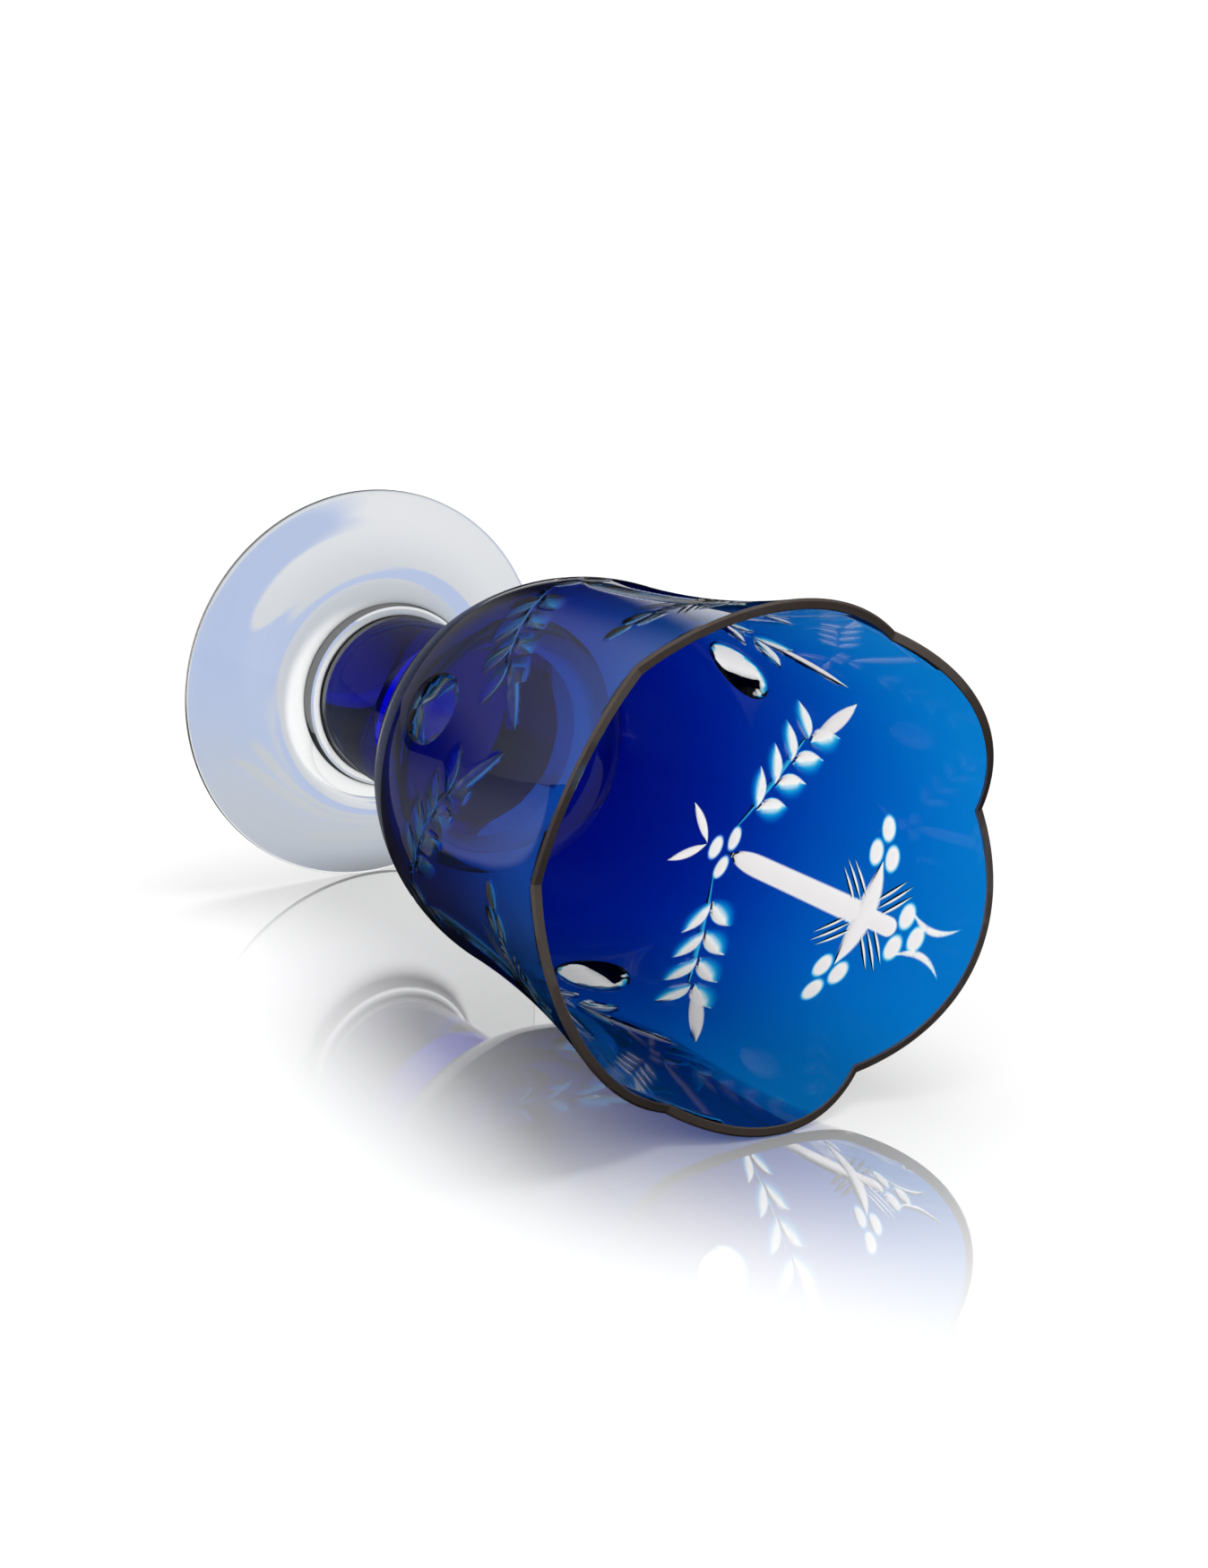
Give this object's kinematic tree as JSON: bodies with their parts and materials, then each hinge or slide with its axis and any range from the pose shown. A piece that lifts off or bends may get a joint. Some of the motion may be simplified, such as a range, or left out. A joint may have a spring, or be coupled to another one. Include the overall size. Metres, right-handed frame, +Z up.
{
  "type": "vase",
  "caption": "Footed cut crystal vase: flared bowl with a cobalt skin cut in sprays, flowers and ovals, scalloped rim, thick cobalt stem, clear collar and disc foot.",
  "frame": {"origin": "centre of the resting ring under the foot, on the axis of the vase", "axes": "+Z up the axis towards the mouth, -Y towards the middle of one cut flower"},
  "size_m": [0.1294, 0.132, 0.222],
  "materials": {
    "clear_crystal": "polished clear crystal",
    "cobalt_glass": "polished cobalt glass"
  },
  "bodies": {
    "root": {"foot": "clear_crystal", "collar": "clear_crystal", "stem": "cobalt_glass", "bowl_crystal": "clear_crystal", "bowl_casing": "cobalt_glass"}
  },
  "joints": []
}
